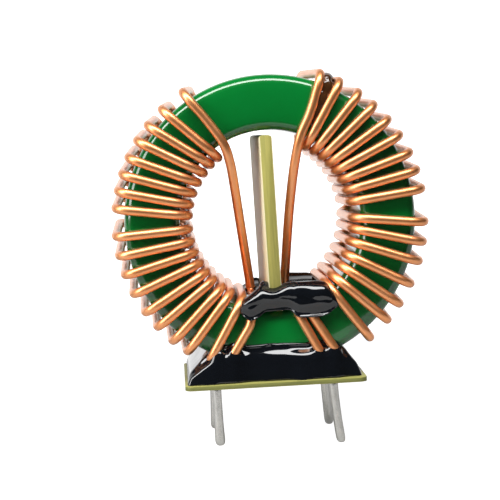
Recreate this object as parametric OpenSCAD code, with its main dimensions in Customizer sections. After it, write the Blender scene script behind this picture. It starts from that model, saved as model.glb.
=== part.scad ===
// Common mode choke: two windings of enamelled copper wire on a coated ferrite ring that
// stands on edge on a laminate base plate, with a laminate divider in its hole and four
// tinned wire ends as pins. Millimetres, +Z up, the ring's axis along Y, front at -Y.
// The origin is the centre of the base plate's underside, where a circuit board meets it.

/* [Core] */
// Outer diameter of the coated ring
core_od = 37; // [35:0.5:40]
// Thickness of the coated ring between its hole and its outer wall
core_wall = 7; // [6:0.5:7.5]
// Width of the ring along its axis
core_w = 16; // [13:0.5:18]
// Radius of the ring's rounded edges
core_edge_r = 1.2; // [0.5:0.1:2]
// How far the ring is glued to the right of the base plate's middle
core_shift = 0.4; // [0:0.05:0.6]

/* [Wire] */
// Diameter of the enamelled wire
wire_d = 1.2; // [0.9:0.05:1.25]
// Gap between a turn and the ring's outer wall and hole
wall_gap = 0.55; // [0.3:0.05:0.7]
// Gap between a turn and the ring's flat faces
face_gap = 0.15; // [0.05:0.05:0.4]
// Length of wire that each corner of a turn takes up on either side of it
turn_bend = 1.9; // [1.2:0.1:2.4]

/* [Right winding] */
// Turns above the wide space at mid height
right_upper_turns = 9; // [6:1:9]
// Turns below that space, without the last turn beside the pins
right_lower_turns = 7; // [4:1:7]
// Outer ends of the turns, in degrees above level: top, above and below the space, bottom
right_outer = [68.4, 9.1, -3.3, -52.5]; // [-60:0.1:70]
// Inner ends of the turns, in degrees above level, in the same order
right_inner = [68.6, 10.9, -0.3, -51]; // [-60:0.1:70]
// How far the middle of the upper turns is laid off an even spread: outer and inner, in degrees
right_bow = [-1, 1.3]; // [-3:0.1:3]
// Last turn: outer and inner end, in degrees above level
right_last = [-65.7, -71.8]; // [-75:0.1:-60]
// Where the lead leaves the first turn's front wire, in degrees above level
right_lead_top = 70.6; // [68:0.2:74]
// Where the lead comes out of the glue in the hole, to the right of the middle
right_lead_foot = 1.8; // [1.6:0.1:2.1]
// Where the lead passes its knee: to the right of the middle, and above the ring's centre
right_lead_knee = [3.5, 7.2]; // [3:0.1:8]
// Where the lead leaves the glue on the front face: right of the middle, below the centre
right_lead_exit = [2.75, 12.3]; // [1.5:0.1:13]

/* [Left winding] */
// Turns above the wide space at mid height
left_upper_turns = 8; // [5:1:8]
// Turns below that space, without the last turn beside the pins
left_lower_turns = 8; // [5:1:8]
// Outer ends of the turns, in degrees above level: top, above and below the space, bottom
left_outer = [58.2, 7.6, -2.9, -54.5]; // [-60:0.1:70]
// Inner ends of the turns, in degrees above level, in the same order
left_inner = [62.4, 6.8, -2.5, -57.8]; // [-60:0.1:70]
// How far the middle of the upper turns is laid off an even spread: outer and inner, in degrees
left_bow = [-3, 0]; // [-3:0.1:3]
// Last turn: outer and inner end, in degrees above level
left_last = [-63.4, -67]; // [-75:0.1:-60]
// Where the lead leaves the first turn's front wire, in degrees above level
left_lead_top = 62.6; // [61:0.2:66]
// Where the lead comes out of the glue in the hole, to the left of the middle
left_lead_foot = 2.5; // [2.3:0.1:2.7]
// Where the lead passes its knee: to the left of the middle, and above the ring's centre
left_lead_knee = [4.5, 7]; // [3:0.1:8]
// Where the lead leaves the glue on the front face: left of the middle, below the centre
left_lead_exit = [2.7, 12.3]; // [1.5:0.1:13]

/* [Base plate] */
// Width of the base plate
base_w = 23; // [20:0.2:26]
// Depth of the base plate
base_d = 20.6; // [17:0.2:24]
// Thickness of the base plate
base_t = 0.6; // [0.4:0.1:1.6]
// Radius of the base plate's corners
base_corner_r = 1; // [0.5:0.1:2]
// Space between the base plate and the lowest point of the ring
core_lift = 1.6; // [1.4:0.1:3]

/* [Pins] */
// Distance between the left and right pins
pin_span_x = 15; // [14:0.5:16]
// Distance between the front and rear pins
pin_span_y = 12.5; // [10:0.5:13]
// Length of the pins below the base plate
pin_len = 8.4; // [3:0.2:12]
// Thickness of the tin on the wire ends
tin_t = 0.05; // [0.02:0.01:0.1]
// Clearance around a pin in its hole in the base plate
pin_clearance = 0.1; // [0.05:0.05:0.3]

/* [Divider] */
// Thickness of the divider
divider_t = 1.6; // [0.8:0.1:1.8]
// How far each edge of the divider is set back from the ring's flat face
divider_inset = 0; // [-0.5:0.1:1]
// Space between the divider's top and the top of the hole
divider_gap = 0.65; // [0.3:0.05:3]
// Chamfer on the divider's top corners
divider_chamfer = 0.4; // [0.1:0.1:0.6]
// Turn of the divider about the vertical, as it was glued in, in degrees
divider_turn = 1.4; // [0:0.1:2]
// Lean of the divider to the left, as it was glued in, in degrees
divider_lean = 1; // [0:0.1:2]

/* [Glue] */
// Height of the glue in the hole, at its middle, above the lowest point of the hole
inner_glue_t = 3.8; // [2.5:0.1:4]
// How far the glue in the hole hangs down on the ring's faces at its wires, below that point
inner_glue_lip = 0.8; // [0.2:0.1:1.2]
// Thickness of the glue over the wires on the ring's flat faces
glue_cover = 0.3; // [0.2:0.05:0.8]
// Height to which the glue on the base plate climbs the ring, above the ring's lowest point
base_glue_climb = 3; // [2:0.1:4]
// Distance between the base plate's edges and the glue at the sides
base_glue_side = 0.3; // [0.1:0.1:1]
// Distance between the base plate's edges and the glue at the front and back
base_glue_front = 2.4; // [1:0.1:3]

/* [Hidden] */
$fn = 96;
core_r = core_od / 2;
hole_r = core_r - core_wall;
core_z = base_t + core_lift + core_r;
wire_r = wire_d / 2;
// A turn's wire runs between these radii and at this distance from the ring's mid plane
turn_out_r = core_r + wall_gap + wire_r;
turn_in_r = hole_r - wall_gap - wire_r;
turn_y = core_w / 2 + face_gap + wire_r;
// The outer runs climb and the inner runs drop towards the back, in degrees: top and bottom turn
outer_climb = [4, 1.5];
inner_drop = [2.5, 0.5];
// Sides of the wire
wire_sides = 8;
pin_r = wire_r + tin_t;
// The tin stops this far below the base plate, and the bare wire reaches this far into it
tin_stop = 0.1;
tin_lap = 0.4;
// The lead, from the front pin: it rises, turns off towards the front of the ring this part of
// the way down from the glue, runs back into the hole above its wall, and up and out at its top
riser_h = 1;
lead_turn_off = 0.7;
lead_rise = 1;
lead_foot_y = 0.8;
knee_forward = 0.86;
lead_top_out = 0.3;
// A bend is the length of wire it takes up on either side of its corner, and the steps that it
// is drawn in, fewer where glue hides it: the lead's corners from the pin up, and the last one
lead_bends = [[0.4, 1], [1, 1], [0.8, 2], [1, 1], [1.6, 2], [2.6, 2], [1.6, 3]];
rear_bend = [1.2, 2];
turn_steps = 3;
// The glue in the hole at places from left to right: how far right of the middle it is, its
// height as a share of the middle's, its lip as a share of the lip at the wires, where a
// negative one stops above the lowest point of the hole, and how much of the wires it covers
inner_glue_places = [
    [-4.5, 0.25, -0.6, 0.7],
    [-4.1, 0.5, 0.2, 0.9],
    [-2.6, 0.8, 0.8, 1],
    [-1, 0.97, -0.1, 0.5],
    [0.8, 1, -0.4, 0.2],
    [2, 0.98, -0.1, 0.5],
    [3.2, 0.96, 0.4, 1],
    [5.8, 0.95, 1, 1],
    [7.2, 0.58, 0.1, 0.8],
    [7.9, 0.27, -0.6, 0.6]
];
// The glue on the plate: slices across X, the thickness of its edges, the fullness of its dome,
// and the heights between which it bulges
glue_slices = 8;
glue_edge_t = 0.3;
dome_power = 2.6;
base_bulge = [0.35, 0.85];
// A slice's thickness, the largest radius of the glue's shoulders, and its small chamfers
slice_t = 0.01;
shoulder_r = 1.6;
glue_chamfer = 0.3;
// The ring that the glue is moulded around is drawn with fewer segments and sharper edges
mould_segments = 36;
mould_edge_r = 0.9 * core_edge_r;

function lerp(a, b, t) = a + (b - a) * t;
function unit(v) = v / norm(v);
// A point beside the ring's axis, which is X = 0 for wires, divider and the glue in the hole
function at_ring(r, angle, y) = [r * cos(angle), y, core_z + r * sin(angle)];

// Angles of one group of turns, spread evenly and then bowed
function group(from, to, turns, bow) = [
    for (i = [0 : turns - 1])
        let (t = i / (turns - 1)) lerp(from, to, t) + bow * sin(180 * t)
];

// Angles of a whole winding's ends, top to bottom
function ends(angles, upper, lower, bow, last) = concat(
    group(angles[0], angles[1], upper, bow),
    group(angles[2], angles[3], lower, 0),
    [last]
);

// Corners of one turn: up the front face, over the outside, down the back, through the hole
function turn_corners(outer, inner, k) =
    let (t = k / (len(outer) - 1))
    [
        for (
            p = [
                at_ring(turn_out_r, outer[k], -turn_y),
                at_ring(turn_out_r, outer[k] + lerp(outer_climb[0], outer_climb[1], t), turn_y),
                at_ring(turn_in_r, inner[k + 1] - lerp(inner_drop[0], inner_drop[1], t), turn_y),
                at_ring(turn_in_r, inner[k + 1], -turn_y)
            ]
        )
            [p, turn_bend, turn_steps]
    ];

// Corners of a whole wire, front pin to rear pin, each with its bend
function wire_corners(outer, inner, top, foot, knee, exit, pin_x) =
    let (
        last = len(outer) - 1,
        pin = [pin_x, pin_span_y / 2],
        tin_in = -tin_stop - tin_lap,
        under = at_ring(turn_out_r, outer[last], 0)[2],
        lead_drop = lerp(exit[1], core_r + core_lift, lead_turn_off),
        lead_z = core_z - hole_r + wire_r + lead_rise,
        lead = [
            [pin[0], -pin[1], base_t + riser_h],
            [lerp(exit[0], pin[0], lead_turn_off), -turn_y, core_z - lead_drop],
            [exit[0], -turn_y, core_z - exit[1]],
            [foot, -turn_y, lead_z],
            [foot, lead_foot_y, lead_z],
            [knee[0], lerp(lead_foot_y, -turn_y, knee_forward), core_z + knee[1]],
            at_ring(hole_r + lead_top_out, top, -turn_y)
        ]
    )
    concat(
        [[[pin[0], -pin[1], tin_in], 0, 0]],
        [for (i = [0 : len(lead) - 1]) concat([lead[i]], lead_bends[i])],
        [for (k = [0 : last - 1]) each turn_corners(outer, inner, k)],
        [
            [at_ring(turn_out_r, outer[last], -turn_y), turn_bend, turn_steps],
            concat([[pin[0], pin[1], under]], rear_bend),
            [[pin[0], pin[1], tin_in], 0, 0]
        ]
    );

// Points of a path whose corners are rounded by short quadratic curves
function rounded_path(corners) = [
    for (i = [0 : len(corners) - 1])
        let (p = corners[i][0], cut = corners[i][1], steps = corners[i][2])
        if (steps == 0)
            p
        else
            let (
                a = p + cut * unit(corners[i - 1][0] - p),
                b = p + cut * unit(corners[i + 1][0] - p)
            )
            each [
                for (s = [0 : steps])
                    let (t = s / steps)
                    (1 - t) * (1 - t) * a + 2 * t * (1 - t) * p + t * t * b
            ]
];

// Direction of a path at each of its points
function tangents(path) = [
    for (i = [0 : len(path) - 1])
        unit(path[min(i + 1, len(path) - 1)] - path[max(i - 1, 0)])
];

// One direction across the path at each point, carried along without twist
function sideways(dirs) = [
    for (
        i = 0, s = unit(cross(dirs[0], [0, 1, 0]));
        i < len(dirs);
        i = i + 1, s = i < len(dirs) ? unit(s - (s * dirs[i]) * dirs[i]) : s
    )
        s
];

// Round wire swept along a path
module wire(path) {
    dirs = tangents(path);
    sides = sideways(dirs);
    rings = [
        for (i = [0 : len(path) - 1])
            for (j = [0 : wire_sides - 1])
                let (a = 360 * j / wire_sides)
                path[i] + wire_r * (cos(a) * sides[i] + sin(a) * cross(dirs[i], sides[i]))
    ];
    last = (len(path) - 1) * wire_sides;
    faces = concat(
        [[for (j = [0 : wire_sides - 1]) j]],
        [[for (j = [wire_sides - 1 : -1 : 0]) last + j]],
        [
            for (i = [0 : len(path) - 2])
                for (j = [0 : wire_sides - 1])
                    let (
                        a = i * wire_sides + j,
                        b = i * wire_sides + (j + 1) % wire_sides
                    )
                    each [[a, a + wire_sides, b], [b, a + wire_sides, b + wire_sides]]
        ]
    );
    polyhedron(points = rings, faces = faces, convexity = 12);
}

// The tinned ends of one wire, which are the pins
module pins(pin_x) {
    for (y = [-1, 1])
        translate([pin_x, y * pin_span_y / 2, -pin_len])
            cylinder(r = pin_r, h = pin_len - tin_stop, $fn = 16);
}

module right_winding() {
    outer = ends(right_outer, right_upper_turns, right_lower_turns, right_bow[0], right_last[0]);
    inner = ends(right_inner, right_upper_turns, right_lower_turns, right_bow[1], right_last[1]);
    pin_x = pin_span_x / 2 - core_shift;
    color("#c8763a")
        translate([core_shift, 0, 0]) {
            wire(rounded_path(wire_corners(
                outer, inner, right_lead_top, right_lead_foot, right_lead_knee, right_lead_exit, pin_x
            )));
            pins(pin_x);
        }
}

module left_winding() {
    outer = ends(left_outer, left_upper_turns, left_lower_turns, left_bow[0], left_last[0]);
    inner = ends(left_inner, left_upper_turns, left_lower_turns, left_bow[1], left_last[1]);
    pin_x = pin_span_x / 2 + core_shift;
    color("#c8763a")
        translate([core_shift, 0, 0])
            mirror([1, 0, 0]) {
                wire(rounded_path(wire_corners(
                    outer, inner, left_lead_top, left_lead_foot, left_lead_knee, left_lead_exit, pin_x
                )));
                pins(pin_x);
            }
}

// Coated ferrite ring
module core() {
    color("#007a34")
        ring(core_r, core_edge_r);
}

// A rounded rectangle turned about the ring's axis
module ring(outer_r, edge_r) {
    translate([core_shift, 0, core_z])
        rotate([90, 0, 0])
            rotate_extrude()
                translate([hole_r, -core_w / 2])
                    rounded_rectangle(outer_r - hole_r, core_w, edge_r);
}

// A rectangle with round corners, its lower left corner at the origin
module rounded_rectangle(w, d, r) {
    translate([r, 0])
        square([w - 2 * r, d]);
    translate([0, r])
        square([w, d - 2 * r]);
    for (x = [r, w - r], y = [r, d - r])
        translate([x, y])
            circle(r, $fn = 16);
}

// Laminate strip that stands in the hole, its foot resting on the wall of the hole
module divider() {
    half = divider_t / 2;
    depth = core_w - 2 * divider_inset;
    foot_x = half * cos(divider_turn) + depth / 2 * sin(divider_turn);
    foot_z = foot_x * sin(divider_lean) - sqrt(hole_r * hole_r - foot_x * foot_x);
    h = hole_r - divider_gap - foot_z;
    color("#b9b35c")
        translate([core_shift, 0, core_z + foot_z])
            rotate([0, -divider_lean, divider_turn])
                rotate([90, 0, 0])
                    translate([0, 0, -depth / 2])
                        linear_extrude(depth)
                            polygon([
                                [-half, 0],
                                [half, 0],
                                [half, h - divider_chamfer],
                                [half - divider_chamfer, h],
                                [divider_chamfer - half, h],
                                [-half, h - divider_chamfer]
                            ]);
}

// Laminate plate with a hole for each pin
module base_plate() {
    color("#a8a860")
        difference() {
            translate([-base_w / 2, -base_d / 2])
                linear_extrude(base_t)
                    rounded_rectangle(base_w, base_d, base_corner_r);
            for (x = [-1, 1], y = [-1, 1])
                translate([x * pin_span_x / 2, y * pin_span_y / 2, -base_t])
                    cylinder(r = pin_r + pin_clearance, h = 3 * base_t);
        }
}

// Height of a dome over its width, 1 in the middle and 0 at -1 and 1
function dome(x) = pow(1 - pow(abs(x), dome_power), 1 / dome_power);

// Station i of the slices, from -1 to 1, closer together at the ends
function station(i) = -cos(180 * i / glue_slices);

// A thin slice across X: a convex outline in Y and Z
module slice(x, outline) {
    translate([x, 0, 0])
        rotate([90, 0, 90])
            linear_extrude(slice_t)
                polygon(outline);
}

// Outline of the glue in the hole: flat on top, with shoulders that roll over onto the faces
function inner_glue_outline(height, lip, cover) =
    let (
        top = inner_glue_t * height - hole_r,
        low = -hole_r - inner_glue_lip * lip,
        out = core_w / 2 + cover * (face_gap + wire_d + glue_cover),
        roll = min(shoulder_r, (top - low) / 2),
        cut = roll * (1 - cos(45))
    )
    [
        for (side = [-1, 1])
            each [
                [side * (out - glue_chamfer), low],
                [side * out, low + glue_chamfer],
                [side * out, top - roll],
                [side * (out - cut), top - cut],
                [side * (out - roll), top]
            ]
    ];

// The glue in the hole, which holds the divider, the leads and the last turns
module inner_glue() {
    color("#101418")
        difference() {
            translate([core_shift, 0, core_z])
                for (i = [1 : len(inner_glue_places) - 1])
                    hull()
                        for (place = [inner_glue_places[i - 1], inner_glue_places[i]])
                            slice(place[0], inner_glue_outline(place[1], place[2], place[3]));
            held();
        }
}

// Outline of the glue on the base plate: it bulges between the plate and the ring
function base_glue_outline(s) =
    let (
        h = glue_edge_t + (core_lift + base_glue_climb - glue_edge_t) * dome(s),
        foot = base_d / 2 - base_glue_front,
        out = lerp(foot, core_w / 2 + face_gap + wire_d + glue_cover, dome(s))
    )
    [
        for (side = [-1, 1])
            each [
                [side * foot, base_t],
                [side * out, base_t + base_bulge[0] * h],
                [side * out, base_t + base_bulge[1] * h],
                [side * (out - glue_chamfer), base_t + h]
            ]
    ];

// The glue between the base plate and the ring, which holds the ring and the wire ends
module base_glue() {
    half = base_w / 2 - base_glue_side;
    color("#101418")
        difference() {
            for (i = [0 : glue_slices - 1])
                hull()
                    for (s = [station(i), station(i + 1)])
                        slice(s * half, base_glue_outline(s));
            held();
        }
}

// What the glue is moulded around, with the flats of the coarse ring on the real ring's wall
module held() {
    ring(core_r / cos(180 / mould_segments), mould_edge_r, $fn = mould_segments);
    left_winding();
    right_winding();
    divider();
}

core();
left_winding();
right_winding();
divider();
base_plate();
inner_glue();
base_glue();
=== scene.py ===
from math import atan2, cos, pi, radians, sin, sqrt

import bmesh
import bpy
from mathutils import Matrix, Vector, noise


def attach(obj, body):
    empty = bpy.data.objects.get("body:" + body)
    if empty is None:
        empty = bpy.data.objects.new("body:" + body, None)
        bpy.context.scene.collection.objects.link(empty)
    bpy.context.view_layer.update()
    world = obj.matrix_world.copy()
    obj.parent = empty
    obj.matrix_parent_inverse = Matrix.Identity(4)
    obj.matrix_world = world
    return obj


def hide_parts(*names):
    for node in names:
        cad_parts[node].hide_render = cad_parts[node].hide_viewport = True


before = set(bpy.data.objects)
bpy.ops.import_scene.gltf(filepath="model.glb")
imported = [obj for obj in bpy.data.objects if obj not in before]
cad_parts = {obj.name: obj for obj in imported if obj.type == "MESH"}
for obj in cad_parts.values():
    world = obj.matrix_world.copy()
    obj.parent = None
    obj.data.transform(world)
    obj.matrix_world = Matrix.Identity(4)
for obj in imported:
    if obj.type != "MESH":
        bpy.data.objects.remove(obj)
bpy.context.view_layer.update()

# The ferrite ring. It is coated with green epoxy powder, baked on half a millimetre thick, so
# its edges are well rounded. It stands on edge, with its axis along Y, a little to the right of
# the base plate's middle.
MM = 0.001
RING_X = 0.4
CENTRE_Z = 20.7
RING_R = 18.5
HOLE_R = 11.5
RING_HALF = 8.0
RING_EDGE_R = 1.2
RING_STEPS = 220
FACE_DOME = 0.035


def linear(colour):
    """An sRGB hex colour as linear light."""
    parts = [int(colour[i:i + 2], 16) / 255 for i in (1, 3, 5)]
    return [c / 12.92 if c <= 0.04045 else ((c + 0.055) / 1.055) ** 2.4 for c in parts] + [1.0]


def new_material(name, **settings):
    """A material, its node tree and its shader with these sockets set."""
    material = bpy.data.materials.new(name)
    material.use_nodes = True
    shader = material.node_tree.nodes["Principled BSDF"]
    for socket, value in settings.items():
        shader.inputs[socket.replace("_", " ")].default_value = value
    return material, material.node_tree, shader


def add_node(tree, kind, links=None, sockets=None, **settings):
    """A node with its settings, its sockets' values, and the outputs that feed its sockets."""
    node = tree.nodes.new(kind)
    for name, value in settings.items():
        setattr(node, name, value)
    for socket, value in (sockets or {}).items():
        node.inputs[socket].default_value = value
    for socket, output in (links or {}).items():
        tree.links.new(output, node.inputs[socket])
    return node


def make_piece(name, bm, material, nodes, sharp=radians(180)):
    """Turns a bmesh in millimetres into a piece that stands for these CAD nodes."""
    bmesh.ops.scale(bm, vec=(MM, MM, MM), verts=bm.verts)
    bmesh.ops.recalc_face_normals(bm, faces=bm.faces)
    mesh = bpy.data.meshes.new(name)
    bm.to_mesh(mesh)
    bm.free()
    mesh.shade_smooth()
    mesh.set_sharp_from_angle(angle=sharp)
    mesh.materials.append(material)
    piece = bpy.data.objects.new(name, mesh)
    bpy.context.scene.collection.objects.link(piece)
    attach(piece, "root")
    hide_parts(*nodes)
    return piece


# Epoxy powder coating, baked: a deep green film with an even gloss, slightly uneven in depth of
# colour, with the fine waves of orange peel that break up the lamps' reflections.
coating, tree, shader = new_material(
    "green_powder_coating", Roughness=0.2, IOR=1.4, Coat_Weight=0.7, Coat_Roughness=0.03,
    Coat_IOR=1.55
)
place = add_node(tree, "ShaderNodeTexCoord").outputs["Object"]
cloud = add_node(
    tree, "ShaderNodeTexNoise", {"Vector": place}, {"Scale": 180.0, "Detail": 3.0, "Roughness": 0.5}
)
green = add_node(tree, "ShaderNodeMix", {"Factor": cloud.outputs["Fac"]}, data_type="RGBA")
green.inputs["A"].default_value = linear("#006822")
green.inputs["B"].default_value = linear("#00732d")
tree.links.new(green.outputs["Result"], shader.inputs["Base Color"])
peel = add_node(
    tree, "ShaderNodeTexNoise", {"Vector": place},
    {"Scale": 900.0, "Detail": 2.0, "Roughness": 0.45}
)
bump = add_node(
    tree, "ShaderNodeBump", {"Height": peel.outputs["Fac"]}, {"Strength": 0.25, "Distance": 0.00004}
)
tree.links.new(bump.outputs["Normal"], shader.inputs["Normal"])

# The ring's section is a rectangle with rounded corners and, where the powder ran together as it
# melted, slightly domed faces. It is spun about the ring's axis.
bm = bmesh.new()
corners = [
    bm.verts.new((r, y, 0)) for r, y in (
        (HOLE_R, -RING_HALF), (RING_R, -RING_HALF), (RING_R, RING_HALF), (HOLE_R, RING_HALF)
    )
]
bm.faces.new(corners)
bmesh.ops.bevel(
    bm, geom=corners, offset=RING_EDGE_R, offset_type="OFFSET", segments=6, profile=0.5,
    affect="VERTICES", material=-1
)
bmesh.ops.delete(bm, geom=bm.faces[:], context="FACES_ONLY")
sides = [e for e in bm.edges if e.calc_length() > 2 * RING_EDGE_R]
bmesh.ops.subdivide_edges(bm, edges=sides, cuts=4, use_grid_fill=False)
for v in bm.verts:
    v.co.y *= 1 - FACE_DOME * (2 * (v.co.x - HOLE_R) / (RING_R - HOLE_R) - 1) ** 2
bmesh.ops.spin(
    bm, geom=bm.verts[:] + bm.edges[:], cent=(0, 0, 0), axis=(0, 1, 0), angle=2 * pi,
    steps=RING_STEPS, use_merge=True
)
bmesh.ops.translate(bm, vec=(RING_X, 0, CENTRE_Z), verts=bm.verts)
make_piece("ferrite_ring", bm, coating, ["core"])

# The two windings: one enamelled copper wire each, wound by hand. From the front pin the lead
# rises on the ring's front face, passes through the glue and the hole, and lies round the ring
# 17 times, more or less evenly, before it goes down to the rear pin.
WIRE_R = 0.6
TURN_OUT_R = 19.6
TURN_IN_R = 10.35
TURN_Y = 8.75
OUTER_BEND = 1.9
INNER_BEND = 2.7
PIN_X = 7.5
PIN_Y = 6.25
TINNED_TO = -0.1
WIRE_END_Z = TINNED_TO - 0.4
PIN_BEND_Z = 1.6
# A lead in the glue: how far below the ring's middle it runs through the hole and from where to
# where in Y, and where it goes over the hole's edge: aside of that run, its Y, and below it.
LEAD_Z = 9.9
LEAD_FOOT_Y = 0.8
LEAD_IN_Y = -6.5
LEAD_OVER_EDGE = (0.6, -8.35, 0.9)
# On the ring's front face it bends at this share of the way to its pin, whose line it would reach
# this far below the ring's middle.
LEAD_TURN = 0.72
LEAD_LOW = RING_R + 1.6
# How many degrees a turn's outer run climbs and its inner run drops towards the back, in the first
# turn and in the last.
OUTER_CLIMB = (4.0, 1.5)
INNER_DROP = (2.5, 0.5)
# How far a bend's handles reach towards its corner.
BEND_FULLNESS = 0.6
# Each turn's angles on the front face, in degrees above level. Points along each turn were read off
# the photograph by hand, a script made angles of them with the fitted camera, and some of these
# were then changed by hand. A lead's freely bent part, its foot and its way out of the glue are
# given beside the ring's middle, in Y, and above or below the middle.
windings = {
    "right": {
        "side": 1,
        "outer": (68.4, 60.8, 52.6, 45.4, 37.9, 30.7, 23.2, 16.2, 9.1,
                  -3.3, -10.8, -18.2, -27.2, -35.7, -43.2, -52.5, -65.7),
        "inner": (70.6, 62.3, 55.5, 48.7, 41.9, 35.0, 27.5, 19.3, 10.9,
                  -0.3, -7.9, -17.0, -26.4, -35.0, -43.9, -51.0, -71.8),
        "foot": 1.8,
        "lead": ((2.5, -4.0, -0.2), (3.0, -6.3, 4.5), (3.5, -7.75, 7.8), (4.2, -8.65, 10.6),
                 (5.55, -8.75, 13.45)),
        "exit": (3.3, 12.7),
    },
    "left": {
        "side": -1,
        "outer": (58.2, 48.3, 40.5, 33.7, 26.7, 20.2, 13.8, 7.4,
                  -2.9, -10.2, -17.5, -25.2, -33.3, -40.3, -48.0, -54.7, -63.4),
        "inner": (62.0, 53.4, 46.3, 38.6, 30.8, 22.6, 14.4, 6.8,
                  -2.5, -11.1, -19.3, -27.5, -35.1, -42.4, -50.5, -57.6, -67.0),
        "foot": 2.5,
        "lead": ((3.84, -4.2, 0.7), (4.32, -6.3, 4.5), (4.78, -7.75, 7.6), (5.5, -8.65, 10.0),
                 (7.4, -8.75, 12.95)),
        "exit": (3.1, 12.7),
    },
}


def on_ring(radius, angle, y):
    """A point round the ring's axis, which is X = 0 here, by its angle above level."""
    a = radians(angle)
    return Vector((radius * cos(a), y, CENTRE_Z + radius * sin(a)))


def route(winding):
    """A wire's corners, front pin to rear pin, and the length of each bend, None for a free one."""
    side, outer, inner = winding["side"], winding["outer"], winding["inner"]
    last = len(outer) - 1
    foot, way_out = winding["foot"], winding["exit"]
    pin_x = PIN_X - side * RING_X
    turn_x = way_out[0] + (pin_x - way_out[0]) * LEAD_TURN
    turn_low = way_out[1] + (LEAD_LOW - way_out[1]) * LEAD_TURN
    aside, edge_y, lower = LEAD_OVER_EDGE
    corners = [
        (Vector((pin_x, -PIN_Y, WIRE_END_Z)), 0),
        (Vector((pin_x, -PIN_Y, PIN_BEND_Z)), 0.4),
        (Vector((turn_x, -TURN_Y, CENTRE_Z - turn_low)), 1),
        (Vector((way_out[0], -TURN_Y, CENTRE_Z - way_out[1])), 0.8),
        (Vector((foot + aside, edge_y, CENTRE_Z - LEAD_Z - lower)), 0.8),
        (Vector((foot, LEAD_IN_Y, CENTRE_Z - LEAD_Z)), 1),
        (Vector((foot, LEAD_FOOT_Y, CENTRE_Z - LEAD_Z)), 1.6),
    ]
    corners += [(Vector((x, y, CENTRE_Z + z)), None) for x, y, z in winding["lead"]]
    for k in range(last):
        climb = OUTER_CLIMB[0] + (OUTER_CLIMB[1] - OUTER_CLIMB[0]) * k / last
        drop = INNER_DROP[0] + (INNER_DROP[1] - INNER_DROP[0]) * k / last
        corners += [
            (on_ring(TURN_OUT_R, outer[k], -TURN_Y), OUTER_BEND),
            (on_ring(TURN_OUT_R, outer[k] + climb, TURN_Y), OUTER_BEND),
            (on_ring(TURN_IN_R, inner[k + 1] - drop, TURN_Y), INNER_BEND),
            (on_ring(TURN_IN_R, inner[k + 1], -TURN_Y), INNER_BEND),
        ]
    low = on_ring(TURN_OUT_R, outer[last], -TURN_Y)
    corners += [
        (low, OUTER_BEND),
        (Vector((pin_x, PIN_Y, low.z)), 1.2),
        (Vector((pin_x, PIN_Y, WIRE_END_Z)), 0),
    ]
    return [(Vector((RING_X + side * p.x, p.y, p.z)), cut) for p, cut in corners]


def bent_wire(name, corners, radius):
    """A curve through the corners in millimetres, with round bends and a round section."""
    knots = []
    for i, (p, cut) in enumerate(corners):
        if cut:
            a = p + cut * (corners[i - 1][0] - p).normalized()
            b = p + cut * (corners[i + 1][0] - p).normalized()
            knots += [(a, None, a.lerp(p, BEND_FULLNESS)), (b, b.lerp(p, BEND_FULLNESS), None)]
        elif cut is None:
            along = (corners[i + 1][0] - corners[i - 1][0]).normalized()
            back = (p - corners[i - 1][0]).length / 3
            ahead = (corners[i + 1][0] - p).length / 3
            knots.append((p, p - back * along, p + ahead * along))
        else:
            knots.append((p, None, None))
    curve = bpy.data.curves.new(name, "CURVE")
    curve.dimensions = "3D"
    curve.resolution_u = 6
    curve.bevel_depth = radius * MM
    curve.bevel_resolution = 6
    curve.use_fill_caps = True
    spline = curve.splines.new("BEZIER")
    spline.bezier_points.add(len(knots) - 1)
    for i, (point, (at, left, right)) in enumerate(zip(spline.bezier_points, knots)):
        left = left or at.lerp(knots[max(i - 1, 0)][0], 1 / 3)
        right = right or at.lerp(knots[min(i + 1, len(knots) - 1)][0], 1 / 3)
        point.co, point.handle_left, point.handle_right = at * MM, left * MM, right * MM
    return curve


def mesh_of_curve(curve):
    """The curve's surface as a mesh, for which the curve itself is then dropped."""
    holder = bpy.data.objects.new(curve.name, curve)
    bpy.context.scene.collection.objects.link(holder)
    shown = holder.evaluated_get(bpy.context.evaluated_depsgraph_get())
    mesh = bpy.data.meshes.new_from_object(shown)
    bpy.data.objects.remove(holder)
    bpy.data.curves.remove(curve)
    return mesh


# Copper wire in clear polyester enamel, drawn and dipped: the copper's own salmon colour under an
# amber film. The film's gloss gives a soft cream band, and its uneven depth the darker places.
enamel, tree, shader = new_material(
    "enamelled_copper_wire", Metallic=1.0, Roughness=0.43, Coat_Weight=0.6, Coat_Roughness=0.16,
    Coat_IOR=1.5
)
place = add_node(tree, "ShaderNodeTexCoord").outputs["Object"]
depth = add_node(
    tree, "ShaderNodeTexNoise", {"Vector": place}, {"Scale": 260.0, "Detail": 4.0, "Roughness": 0.6}
)
copper = add_node(tree, "ShaderNodeMix", {"Factor": depth.outputs["Fac"]}, data_type="RGBA")
copper.inputs["A"].default_value = linear("#e99250")
copper.inputs["B"].default_value = linear("#fbb37e")
tree.links.new(copper.outputs["Result"], shader.inputs["Base Color"])

# Tin on the wire's ends, dipped: a bright grey metal, slightly uneven, that rounds off the cut end.
tin, tree, shader = new_material("dipped_tin", Metallic=1.0, Roughness=0.26)
place = add_node(tree, "ShaderNodeTexCoord").outputs["Object"]
patch = add_node(
    tree, "ShaderNodeTexNoise", {"Vector": place}, {"Scale": 700.0, "Detail": 3.0, "Roughness": 0.5}
)
grey = add_node(tree, "ShaderNodeMix", {"Factor": patch.outputs["Fac"]}, data_type="RGBA")
grey.inputs["A"].default_value = linear("#b4b3ae")
grey.inputs["B"].default_value = linear("#dddcd8")
tree.links.new(grey.outputs["Result"], shader.inputs["Base Color"])
bump = add_node(
    tree, "ShaderNodeBump", {"Height": patch.outputs["Fac"]}, {"Strength": 0.4, "Distance": 0.00005}
)
tree.links.new(bump.outputs["Normal"], shader.inputs["Normal"])

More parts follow.
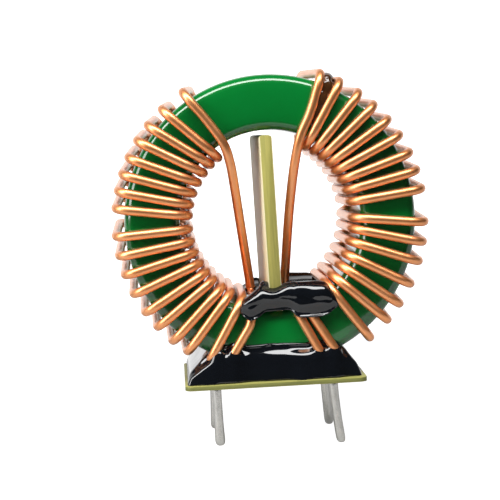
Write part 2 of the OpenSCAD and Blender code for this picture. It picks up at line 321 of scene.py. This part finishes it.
# Each pin: how far down its cut end is, how far its tip is bent off, and how thick the tip is. The
# bend grows down the pin by this power.
PIN_BEND_POWER = 1.6
pins = {
    ("left", -1): (-7.9, 0.15, 0.68),
    ("right", -1): (-8.38, 0.75, 0.62),
    ("left", 1): (-8.05, -0.2, 0.62),
    ("right", 1): (-8.38, 0.45, 0.64),
}

for name, winding in windings.items():
    mesh = mesh_of_curve(bent_wire(name + "_wire", route(winding), WIRE_R))
    mesh.materials.clear()
    mesh.materials.append(enamel)
    mesh.shade_smooth()
    wire = bpy.data.objects.new(name + "_wire", mesh)
    bpy.context.scene.collection.objects.link(wire)
    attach(wire, "root")
    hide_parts(name + "_winding")
    bm = bmesh.new()
    for end in (-1, 1):
        tip, bend, thick = pins[name, end]
        profile = (
            (0, TINNED_TO), (0.6, TINNED_TO), (0.62, -0.6), (0.6, -2), (0.61, -4), (0.6, -5.6),
            (thick, tip + 0.9), (thick - 0.03, tip + 0.35), (0.4, tip + 0.05), (0, tip)
        )
        line = [bm.verts.new((r, 0, z)) for r, z in profile]
        edges = [bm.edges.new(pair) for pair in zip(line, line[1:])]
        bmesh.ops.spin(
            bm, geom=line + edges, cent=(0, 0, 0), axis=(0, 0, 1), angle=2 * pi, steps=20,
            use_merge=True
        )
        for v in [v for v in bm.verts if not v.tag]:
            v.tag = True
            bent = max(0.0, v.co.z / tip) ** PIN_BEND_POWER
            v.co += Vector((winding["side"] * PIN_X + bend * bent, end * PIN_Y, 0))
    bmesh.ops.remove_doubles(bm, verts=bm.verts, dist=0.001)
    tails = make_piece(name + "_pins", bm, tin, [name + "_winding"])
    rounding = tails.modifiers.new("rounding", "SUBSURF")
    rounding.levels = 1
    rounding.render_levels = 1

# The divider: a strip of bare glass fibre laminate, sawn to width, that stands in the hole on
# its end and keeps the two windings apart. It is glued in a little turned and leaning.
DIVIDER_T = 1.6
DIVIDER_D = 16.0
DIVIDER_TOP = CENTRE_Z + HOLE_R - 0.65
DIVIDER_FOOT = CENTRE_Z - 11.44
DIVIDER_TURN = radians(1.4)
DIVIDER_LEAN = radians(-1)
TOP_CORNER = 0.4
SAWN_EDGE = 0.06
SKIN_INSIDE = 0.12
SKIN_OUTSIDE = 0.05


def glass_laminate(name, middle, turned, half, glass, resin):
    """Laminate for a sheet, by its middle, how X is turned to lie across it, half its thickness,
    and the colours of its glass and of the skin of resin on its two faces; the divider's skin
    colour is painted paler, as painted light."""
    material, tree, shader = new_material(name, Roughness=0.5, IOR=1.4)
    place = add_node(tree, "ShaderNodeTexCoord").outputs["Object"]
    sheet = add_node(
        tree, "ShaderNodeMapping", {"Vector": place}, {"Location": middle, "Rotation": turned},
        vector_type="TEXTURE"
    )
    drawn = add_node(
        tree, "ShaderNodeMapping", {"Vector": sheet.outputs[0]}, {"Scale": (1, 0.05, 0.05)}
    )
    layers = add_node(
        tree, "ShaderNodeTexNoise", {"Vector": drawn.outputs[0]},
        {"Scale": 4200.0, "Detail": 2.0, "Roughness": 0.5}
    )
    spread = add_node(
        tree, "ShaderNodeMapRange", {"Value": layers.outputs["Fac"]},
        {"From Min": 0.3, "From Max": 0.7}
    )
    inside = add_node(tree, "ShaderNodeMix", {"Factor": spread.outputs[0]}, data_type="RGBA")
    inside.inputs["A"].default_value = linear(glass[0])
    inside.inputs["B"].default_value = linear(glass[1])
    parts = add_node(tree, "ShaderNodeSeparateXYZ", {"Vector": sheet.outputs[0]})
    across = add_node(tree, "ShaderNodeMath", {0: parts.outputs["X"]}, operation="ABSOLUTE")
    outside = add_node(
        tree, "ShaderNodeMapRange", {"Value": across.outputs[0]},
        {"From Min": (half - SKIN_INSIDE) * MM, "From Max": (half - SKIN_OUTSIDE) * MM}
    )
    colour = add_node(
        tree, "ShaderNodeMix", {"Factor": outside.outputs[0], "A": inside.outputs["Result"]},
        data_type="RGBA"
    )
    colour.inputs["B"].default_value = linear(resin)
    tree.links.new(colour.outputs["Result"], shader.inputs["Base Color"])
    bump = add_node(
        tree, "ShaderNodeBump", {"Height": layers.outputs["Fac"]},
        {"Strength": 0.3, "Distance": 0.00003}
    )
    tree.links.new(bump.outputs["Normal"], shader.inputs["Normal"])
    return material


def bevel_edges(shape, edges, offset):
    """Rounds these edges of a bmesh off, with two faces each."""
    bmesh.ops.bevel(
        shape, geom=edges, offset=offset, offset_type="OFFSET", segments=2, profile=0.5,
        affect="EDGES", material=-1
    )


# Glass fibre laminate, pressed and sawn: dull yellow-green, with the fine streaks of its layers of
# cloth on the sawn edges, and a skin of resin on both faces. The skin is painted paler than the
# resin is, as painted light: it stands for light shining through the thin laminate and for the
# white backdrop mirrored in its faces.
strip = glass_laminate(
    "sawn_glass_laminate", Vector((RING_X, 0, DIVIDER_FOOT)) * MM, (0, DIVIDER_LEAN, DIVIDER_TURN),
    DIVIDER_T / 2, ("#94904c", "#a8a055"), "#e6dcb4"
)

bm = bmesh.new()
bmesh.ops.create_cube(bm, size=1)
bmesh.ops.scale(bm, vec=(DIVIDER_T, DIVIDER_D, DIVIDER_TOP - DIVIDER_FOOT), verts=bm.verts)
bmesh.ops.translate(bm, vec=(0, 0, (DIVIDER_TOP + DIVIDER_FOOT) / 2), verts=bm.verts)
top_sides = [
    e for e in bm.edges
    if all(v.co.z > CENTRE_Z and v.co.x == e.verts[0].co.x for v in e.verts)
]
bevel_edges(bm, top_sides, TOP_CORNER)
bevel_edges(bm, bm.edges[:], SAWN_EDGE)
bmesh.ops.rotate(
    bm, cent=(0, 0, DIVIDER_FOOT), matrix=Matrix.Rotation(DIVIDER_LEAN, 3, "Y"), verts=bm.verts
)
bmesh.ops.rotate(bm, cent=(0, 0, 0), matrix=Matrix.Rotation(DIVIDER_TURN, 3, "Z"), verts=bm.verts)
bmesh.ops.translate(bm, vec=(RING_X, 0, 0), verts=bm.verts)
make_piece("divider_strip", bm, strip, ["divider"], radians(40))

# The base plate: thin glass fibre laminate, milled to size with rounded corners and drilled for
# the four pins. Its underside rests on the circuit board.
PLATE_W = 23.0
PLATE_D = 20.6
PLATE_T = 0.6
PLATE_CORNER_R = 1.0
PLATE_HOLE_R = 0.75
PLATE_EDGE = 0.05

# The same laminate in a thinner sheet, milled instead of sawn, which looks darker and greener.
sheet = glass_laminate(
    "thin_glass_laminate", Vector((0, 0, PLATE_T / 2)) * MM, (0, -pi / 2, 0), PLATE_T / 2,
    ("#6b6e3c", "#7c7e43"), "#94924e"
)

outline = [
    (
        sx * (PLATE_W / 2 - PLATE_CORNER_R) + (PLATE_CORNER_R - PLATE_EDGE) * cos(radians(a)),
        sy * (PLATE_D / 2 - PLATE_CORNER_R) + (PLATE_CORNER_R - PLATE_EDGE) * sin(radians(a))
    )
    for sx, sy, start in ((1, 1, 0), (-1, 1, 90), (-1, -1, 180), (1, -1, 270))
    for a in range(start, start + 91, 10)
]
holes = [
    [
        (
            x * PIN_X + (PLATE_HOLE_R + PLATE_EDGE) * cos(radians(a)),
            y * PIN_Y - (PLATE_HOLE_R + PLATE_EDGE) * sin(radians(a))
        )
        for a in range(0, 360, 15)
    ]
    for x in (-1, 1) for y in (-1, 1)
]
plan = bpy.data.curves.new("plate_plan", "CURVE")
plan.dimensions = "2D"
plan.fill_mode = "BOTH"
plan.extrude = (PLATE_T / 2 - PLATE_EDGE) * MM
plan.bevel_depth = PLATE_EDGE * MM
plan.bevel_resolution = 1
for loop in [outline] + holes:
    spline = plan.splines.new("POLY")
    spline.points.add(len(loop) - 1)
    spline.use_cyclic_u = True
    for point, (x, y) in zip(spline.points, loop):
        point.co = (x * MM, y * MM, 0, 1)
bm = bmesh.new()
bm.from_mesh(mesh_of_curve(plan))
bmesh.ops.scale(bm, vec=(1 / MM, 1 / MM, 1 / MM), verts=bm.verts)
bmesh.ops.translate(bm, vec=(0, 0, PLATE_T / 2), verts=bm.verts)
bmesh.ops.remove_doubles(bm, verts=bm.verts, dist=0.001)
make_piece("laminate_base", bm, sheet, ["base_plate"], radians(40))

# The black glue in the hole: thick epoxy, poured over the divider's foot, the leads and the last
# turns, and set glossy. Its pool is lower than its rims, which roll over onto the ring's faces.
# Each row: right of the ring's middle, top, widest line and foot of the front rim above it, how
# far out the widest line and the foot are, and how far the pool lies below the rim.
HOLE_GLUE = (
    (-4.6, -10.8, -10.95, -11.1, 9.0, 8.6, 0.0),
    (-4.2, -9.8, -10.6, -11.7, 9.4, 8.7, 0.1),
    (-3.3, -9.1, -10.3, -12.4, 9.8, 8.9, 0.5),
    (-2.5, -8.6, -10.0, -12.2, 9.75, 8.8, 0.8),
    (-1.9, -8.2, -9.9, -11.9, 9.5, 8.5, 0.85),
    (-1.4, -8.1, -9.7, -11.5, 9.4, 8.15, 0.8),
    (-0.6, -8.4, -9.6, -11.45, 9.3, 8.15, 0.6),
    (0.2, -8.45, -9.55, -11.4, 9.25, 8.15, 0.6),
    (0.9, -8.1, -9.5, -11.4, 9.2, 8.15, 0.8),
    (1.6, -7.75, -9.55, -11.4, 9.3, 8.15, 1.1),
    (2.2, -7.7, -9.7, -11.7, 9.4, 8.5, 1.1),
    (2.7, -7.7, -9.7, -12.2, 9.7, 8.8, 1.1),
    (4.4, -7.75, -9.8, -12.35, 9.85, 8.95, 1.1),
    (5.6, -7.8, -9.9, -12.35, 9.85, 8.95, 1.0),
    (6.5, -8.0, -10.0, -12.1, 9.8, 8.9, 0.9),
    (7.2, -8.7, -10.2, -11.6, 9.6, 8.7, 0.6),
    (7.8, -9.8, -10.6, -11.2, 9.3, 8.6, 0.2),
    (8.1, -10.7, -10.85, -11.0, 9.2, 8.9, 0.0),
)
# Round a section of it, from the middle of its underside to the middle of the pool: shares of how
# far out the foot and the widest line are, of the heights below and above that line, and of the
# pool's depth.
HOLE_GLUE_SECTION = (
    (-1.0, 0.0, 0.0, 0.0, 0.0, 0.0),
    (-0.85, 1.0, 0.0, 0.0, 0.0, 0.0),
    (-0.65, 0.6, 0.4, 0.2, 0.0, 0.0),
    (-0.45, 0.3, 0.7, 0.44, 0.0, 0.0),
    (-0.25, 0.1, 0.9, 0.7, 0.0, 0.0),
    (-0.05, 0.0, 0.99, 0.95, 0.02, 0.0),
    (0.15, 0.0, 1.0, 1.0, 0.2, 0.0),
    (0.35, 0.0, 0.98, 1.0, 0.48, 0.0),
    (0.52, 0.0, 0.945, 1.0, 0.74, 0.0),
    (0.66, 0.0, 0.89, 1.0, 0.93, 0.0),
    (0.77, 0.0, 0.825, 1.0, 1.0, 0.0),
    (0.88, 0.0, 0.7, 1.0, 1.0, 0.7),
    (1.0, 0.0, 0.0, 1.0, 1.0, 1.0),
)
# The rim at the back is lower than the one at the front, and the pool slopes between them.
BACK_RIM_LOWER = 0.45
SLOPE_Y = 5.5
HOLE_RIPPLE_UP = 0.1
HOLE_RIPPLE_OUT = 0.2
POLE = 0.9999


def at_place(rows, x):
    """The values that the rows give at x, along a smooth curve through the rows."""
    x = min(max(x, rows[0][0]), rows[-1][0])
    k = max(i for i in range(len(rows) - 1) if rows[i][0] <= x)
    a, b = rows[k], rows[k + 1]
    before, after = rows[max(k - 1, 0)], rows[min(k + 2, len(rows) - 1)]
    step = b[0] - a[0]
    t = (x - a[0]) / step
    values = []
    for i in range(1, len(a)):
        start = (b[i] - before[i]) / (b[0] - before[0]) * step
        end = (after[i] - a[i]) / (after[0] - a[0]) * step
        values.append(
            (2 * t ** 3 - 3 * t ** 2 + 1) * a[i] + (t ** 3 - 2 * t ** 2 + t) * start
            + (3 * t ** 2 - 2 * t ** 3) * b[i] + (t ** 3 - t ** 2) * end
        )
    return values


def ease(value, start, end):
    """From 0 at start to 1 at end, smoothly."""
    t = min(1.0, max(0.0, (value - start) / (end - start)))
    return t * t * (3 - 2 * t)


def ball(shape):
    """A unit sphere with its poles along X, added to a bmesh, for its vertices to be laid out."""
    made = bmesh.ops.create_uvsphere(shape, u_segments=72, v_segments=72, radius=1)["verts"]
    bmesh.ops.rotate(shape, cent=(0, 0, 0), matrix=Matrix.Rotation(pi / 2, 3, "Y"), verts=made)
    return made


def lump(shape, at, size):
    """An ellipsoid of glue beside the ring's axis, added to a bmesh, in millimetres."""
    place = Matrix.Translation(Vector(at) + Vector((RING_X, 0, CENTRE_Z)))
    matrix = place @ Matrix.Diagonal((*size, 1))
    bmesh.ops.create_uvsphere(shape, u_segments=24, v_segments=16, radius=1, matrix=matrix)


# Poured epoxy, black and set in air: a mirror-smooth skin over a body that lets no light through.
epoxy, tree, shader = new_material("poured_black_epoxy", Roughness=0.06, IOR=1.6)
shader.inputs["Base Color"].default_value = linear("#080b10")
place = add_node(tree, "ShaderNodeTexCoord").outputs["Object"]
swell = add_node(
    tree, "ShaderNodeTexNoise", {"Vector": place}, {"Scale": 420.0, "Detail": 2.0, "Roughness": 0.4}
)
bump = add_node(
    tree, "ShaderNodeBump", {"Height": swell.outputs["Fac"]}, {"Strength": 0.35, "Distance": 0.0001}
)
tree.links.new(bump.outputs["Normal"], shader.inputs["Normal"])


def poured(name, shape, voxel):
    """Fuses a bmesh's parts into one skin, as set glue is, and smooths it."""
    bmesh.ops.scale(shape, vec=(MM, MM, MM), verts=shape.verts)
    mesh = bpy.data.meshes.new(name)
    shape.to_mesh(mesh)
    shape.free()
    holder = bpy.data.objects.new(name, mesh)
    bpy.context.scene.collection.objects.link(holder)
    fuse = holder.modifiers.new("fuse", "REMESH")
    fuse.mode = "VOXEL"
    fuse.voxel_size = voxel * MM
    settle = holder.modifiers.new("settle", "SMOOTH")
    settle.factor = 0.5
    settle.iterations = 14
    shown = holder.evaluated_get(bpy.context.evaluated_depsgraph_get())
    skin = bmesh.new()
    skin.from_mesh(bpy.data.meshes.new_from_object(shown))
    bpy.data.objects.remove(holder)
    bmesh.ops.scale(skin, vec=(1 / MM, 1 / MM, 1 / MM), verts=skin.verts)
    return skin


bm = bmesh.new()
for v in ball(bm):
    x = HOLE_GLUE[0][0] + (HOLE_GLUE[-1][0] - HOLE_GLUE[0][0]) * (v.co.x + 1) / 2
    top, full, low, out, foot, dip = at_place(HOLE_GLUE, x)
    if abs(v.co.x) > POLE:
        v.co = Vector((RING_X + x, 0, CENTRE_Z + full))
        continue
    side = 1 if v.co.y > 0 else -1
    angle = atan2(v.co.z, abs(v.co.y)) / (pi / 2)
    inner, outer, below, above, pool = at_place(HOLE_GLUE_SECTION, angle)
    reach = side * (inner * foot + outer * out)
    top -= BACK_RIM_LOWER * ease(reach, -SLOPE_Y, SLOPE_Y) + dip * pool
    height = low + below * (full - low) + above * (top - full)
    v.co = Vector((RING_X + x, reach, CENTRE_Z + height))
    v.co.z += HOLE_RIPPLE_UP * noise.noise(v.co * 0.5)
    v.co.y += HOLE_RIPPLE_OUT * noise.noise(v.co * 0.45 + Vector((0, 0, 9)))
# It climbs a little round the feet of the two leads and at the divider's front left edge.
for at, size in (
    ((1.8, 0.6, -8.95), (0.95, 0.95, 0.5)),
    ((-2.5, 0.6, -9.3), (0.95, 0.95, 0.5)),
    ((-1.2, -7.2, -8.3), (0.7, 0.9, 0.8)),
):
    lump(bm, at, size)
make_piece("hole_glue", poured("hole_glue", bm, 0.15), epoxy, ["inner_glue"])

# The black glue on the base plate: the same epoxy, poured between plate and ring, where it
# climbs the ring's faces and the wires, and runs out onto the plate.
# Each row: right of the ring's middle, height of its top, reach of its foot and of its shoulder.
PLATE_GLUE = (
    (-11.6, 0.9, 9.6, 9.3),
    (-11.2, 2.0, 9.7, 9.3),
    (-9.9, 3.4, 9.8, 9.3),
    (-9.4, 3.9, 9.8, 9.3),
    (-8.5, 4.8, 9.85, 9.4),
    (-7.6, 5.6, 9.9, 9.5),
    (-6.4, 5.4, 9.85, 9.45),
    (-5.5, 5.7, 9.85, 9.45),
    (-4.4, 5.4, 9.5, 9.1),
    (-3.4, 5.25, 9.3, 8.9),
    (-1.5, 5.3, 9.35, 8.95),
    (1.0, 5.3, 9.5, 9.05),
    (2.2, 5.25, 9.95, 9.25),
    (3.0, 5.2, 10.25, 9.35),
    (3.9, 5.2, 10.0, 9.3),
    (5.1, 5.6, 9.85, 9.45),
    (6.0, 5.3, 9.8, 9.4),
    (7.0, 5.6, 9.9, 9.5),
    (7.8, 5.0, 9.8, 9.4),
    (8.7, 4.0, 9.5, 9.05),
    (9.5, 2.9, 9.3, 8.85),
    (10.1, 2.1, 9.2, 8.8),
    (10.6, 0.9, 9.0, 8.7),
)
# Round its section, from the plate up: shares of the reach of the foot, of the shoulder and of
# the ring's face, which it climbs a little, and of the height.
PLATE_GLUE_SECTION = (
    (0.0, 1.0, 0.0, 0.0, 0.0),
    (0.2, 0.55, 0.45, 0.0, 0.25),
    (0.38, 0.15, 0.85, 0.0, 0.47),
    (0.5, 0.0, 1.0, 0.0, 0.6),
    (0.6, 0.0, 0.76, 0.24, 0.7),
    (0.7, 0.0, 0.42, 0.58, 0.78),
    (0.78, 0.0, 0.16, 0.84, 0.84),
    (0.85, 0.0, 0.0, 1.0, 0.91),
    (0.91, 0.0, 0.0, 0.97, 1.0),
    (1.0, 0.0, 0.0, 0.0, 1.0),
)
CLIMB_Y = RING_HALF + 0.2
SUNK_IN_PLATE = 0.15
PLATE_RIPPLE_UP = 0.12
PLATE_RIPPLE_OUT = 0.3
bm = bmesh.new()
for v in ball(bm):
    x = PLATE_GLUE[0][0] + (PLATE_GLUE[-1][0] - PLATE_GLUE[0][0]) * (v.co.x + 1) / 2
    top, foot, shoulder = at_place(PLATE_GLUE, x)
    if abs(v.co.x) > POLE:
        v.co = Vector((RING_X + x, 0, PLATE_T))
        continue
    side = 1 if v.co.y > 0 else -1
    angle = atan2(max(0.0, v.co.z), abs(v.co.y)) / (pi / 2)
    low, high, climb, height = at_place(PLATE_GLUE_SECTION, angle)
    reach = low * foot + high * shoulder + climb * CLIMB_Y
    if v.co.z < 0:
        reach *= abs(v.co.y) / sqrt(1 - v.co.x ** 2)
    base = PLATE_T - SUNK_IN_PLATE
    v.co = Vector((RING_X + x, side * reach, base + height * (top - base)))
    wave = noise.noise(Vector((0.4 * v.co.x, 0.4 * v.co.y, 7 + 0.1 * v.co.z)))
    v.co.y -= side * PLATE_RIPPLE_OUT * (1 - height) * wave
    v.co.z += PLATE_RIPPLE_UP * noise.noise(v.co * 0.6) * height
# It swells over the four wires that run into it on the front face.
for at, size in (
    ((-7.5, -8.6, -17.5), (1.2, 0.95, 1.8)),
    ((-5.6, -8.6, -17.5), (1.1, 0.95, 1.9)),
    ((5.3, -8.6, -17.5), (1.1, 0.9, 1.6)),
    ((7.1, -8.6, -17.6), (1.2, 0.95, 1.9)),
):
    lump(bm, at, size)
make_piece("plate_glue", poured("plate_glue", bm, 0.18), epoxy, ["base_glue"])

# A dab of the same glue, thin and brown, between the first two turns of the right winding.
varnish, tree, shader = new_material("thin_brown_epoxy", Roughness=0.1, IOR=1.6)
shader.inputs["Base Color"].default_value = linear("#40250f")
place = add_node(tree, "ShaderNodeTexCoord").outputs["Object"]
swell = add_node(
    tree, "ShaderNodeTexNoise", {"Vector": place}, {"Scale": 900.0, "Detail": 2.0, "Roughness": 0.5}
)
bump = add_node(
    tree, "ShaderNodeBump", {"Height": swell.outputs["Fac"]}, {"Strength": 0.6, "Distance": 0.0002}
)
tree.links.new(bump.outputs["Normal"], shader.inputs["Normal"])
bm = bmesh.new()
for at, size in (
    ((5.8, -8.4, 12.4), (0.5, 0.5, 1.0)),
    ((6.4, -8.4, 13.6), (0.8, 0.6, 1.3)),
    ((7.1, -8.4, 15.0), (1.1, 0.7, 1.3)),
    ((7.8, -8.3, 16.4), (1.0, 0.6, 1.1)),
    ((7.9, -6.2, 17.5), (1.0, 2.4, 0.9)),
):
    lump(bm, at, size)
make_piece("turn_glue", poured("turn_glue", bm, 0.12), varnish, ["right_winding"])

# The studio: a white sweep of paper under and behind the object, a long bright lamp above and in
# front of it, a weaker one at the left, and a dark room.
FLOOR_Z = -8.4

# Matt white paper, which the camera sees plain white, as in an overexposed background. For mirror
# rays it also glows, as a painted reflection: dim where it is near the object and brighter far
# behind, as if the far paper were lit more.
paper, tree, shader = new_material("white_paper_sweep", Roughness=0.9)
shader.inputs["Base Color"].default_value = linear("#b8b8b8")
path = add_node(tree, "ShaderNodeLightPath")
place = add_node(tree, "ShaderNodeTexCoord").outputs["Object"]
back = add_node(tree, "ShaderNodeSeparateXYZ", {"Vector": place})
painted_reflection_ramp = add_node(
    tree, "ShaderNodeMapRange", {"Value": back.outputs["Y"]},
    {"From Min": -0.01, "From Max": 0.15, "To Min": 0.2, "To Max": 0.7}
)
mirrored = add_node(
    tree, "ShaderNodeMath",
    {0: path.outputs["Is Glossy Ray"], 1: painted_reflection_ramp.outputs[0], 2: path.outputs["Is Camera Ray"]},
    operation="MULTIPLY_ADD"
)
glow = add_node(tree, "ShaderNodeEmission", {"Strength": mirrored.outputs[0]})
both = add_node(tree, "ShaderNodeAddShader", {0: shader.outputs[0], 1: glow.outputs[0]})
tree.links.new(both.outputs[0], tree.nodes["Material Output"].inputs["Surface"])

bm = bmesh.new()
line = [bm.verts.new((-700, y, z)) for y, z in ((-60, FLOOR_Z), (350, FLOOR_Z), (350, 600))]
edges = [bm.edges.new(pair) for pair in zip(line, line[1:])]
bmesh.ops.bevel(
    bm, geom=[line[1]], offset=250, offset_type="OFFSET", segments=16, profile=0.5,
    affect="VERTICES", material=-1
)
wide = bmesh.ops.extrude_edge_only(bm, edges=bm.edges[:])
bmesh.ops.translate(
    bm, vec=(1400, 0, 0), verts=[v for v in wide["geom"] if isinstance(v, bmesh.types.BMVert)]
)
bmesh.ops.scale(bm, vec=(MM, MM, MM), verts=bm.verts)
mesh = bpy.data.meshes.new("paper_sweep")
bm.to_mesh(mesh)
bm.free()
mesh.shade_smooth()
mesh.materials.append(paper)
sweep = bpy.data.objects.new("paper_sweep", mesh)
bpy.context.scene.collection.objects.link(sweep)


def soft_lamp(name, at, towards, width, height, power):
    """A rectangular lamp, at and towards in millimetres."""
    data = bpy.data.lights.new(name, "AREA")
    data.shape = "RECTANGLE"
    data.size, data.size_y = width * MM, height * MM
    data.energy = power
    lamp = bpy.data.objects.new(name, data)
    lamp.location = Vector(at) * MM
    aim = (Vector(towards) - Vector(at)).to_track_quat("-Z", "Y")
    lamp.rotation_euler = aim.to_euler()
    bpy.context.scene.collection.objects.link(lamp)
    return lamp


soft_lamp("lamp_across", (-130, -165, 315), (-130, 0, 20), 640, 110, 3.0)
soft_lamp("lamp_left", (-330, -150, 120), (0, 0, 15), 160, 200, 0.8)

world = bpy.data.worlds.new("studio_room")
bpy.context.scene.world = world
world.use_nodes = True
tree = world.node_tree
path = add_node(tree, "ShaderNodeLightPath")
room = add_node(
    tree, "ShaderNodeMapRange", {"Value": path.outputs["Is Camera Ray"]},
    {"From Min": 0.0, "From Max": 1.0, "To Min": 0.05, "To Max": 1.0}
)
background = tree.nodes["Background"]
background.inputs["Color"].default_value = (1, 1, 1, 1)
tree.links.new(room.outputs[0], background.inputs["Strength"])

# The camera, fitted to the photograph: a little to the left, above, and tipped.
yaw, pitch, roll = radians(2.72), radians(4.51), radians(-2.84)
forward = Vector((sin(yaw) * cos(pitch), cos(yaw) * cos(pitch), -sin(pitch)))
level = Vector((cos(yaw), -sin(yaw), 0))
upright = level.cross(forward)
right = cos(roll) * level + sin(roll) * upright
up = -sin(roll) * level + cos(roll) * upright
data = bpy.data.cameras.new("camera")
data.sensor_width = 36
data.lens = 110.03
data.clip_start, data.clip_end = 0.01, 10
camera = bpy.data.objects.new("camera", data)
turn = Matrix((right, up, -forward)).transposed()
place = Vector((RING_X - 11.95, -200, CENTRE_Z + 11.67)) * MM
camera.matrix_world = Matrix.Translation(place) @ turn.to_4x4()
bpy.context.scene.collection.objects.link(camera)
bpy.context.scene.camera = camera
bpy.context.scene.view_settings.view_transform = "Standard"
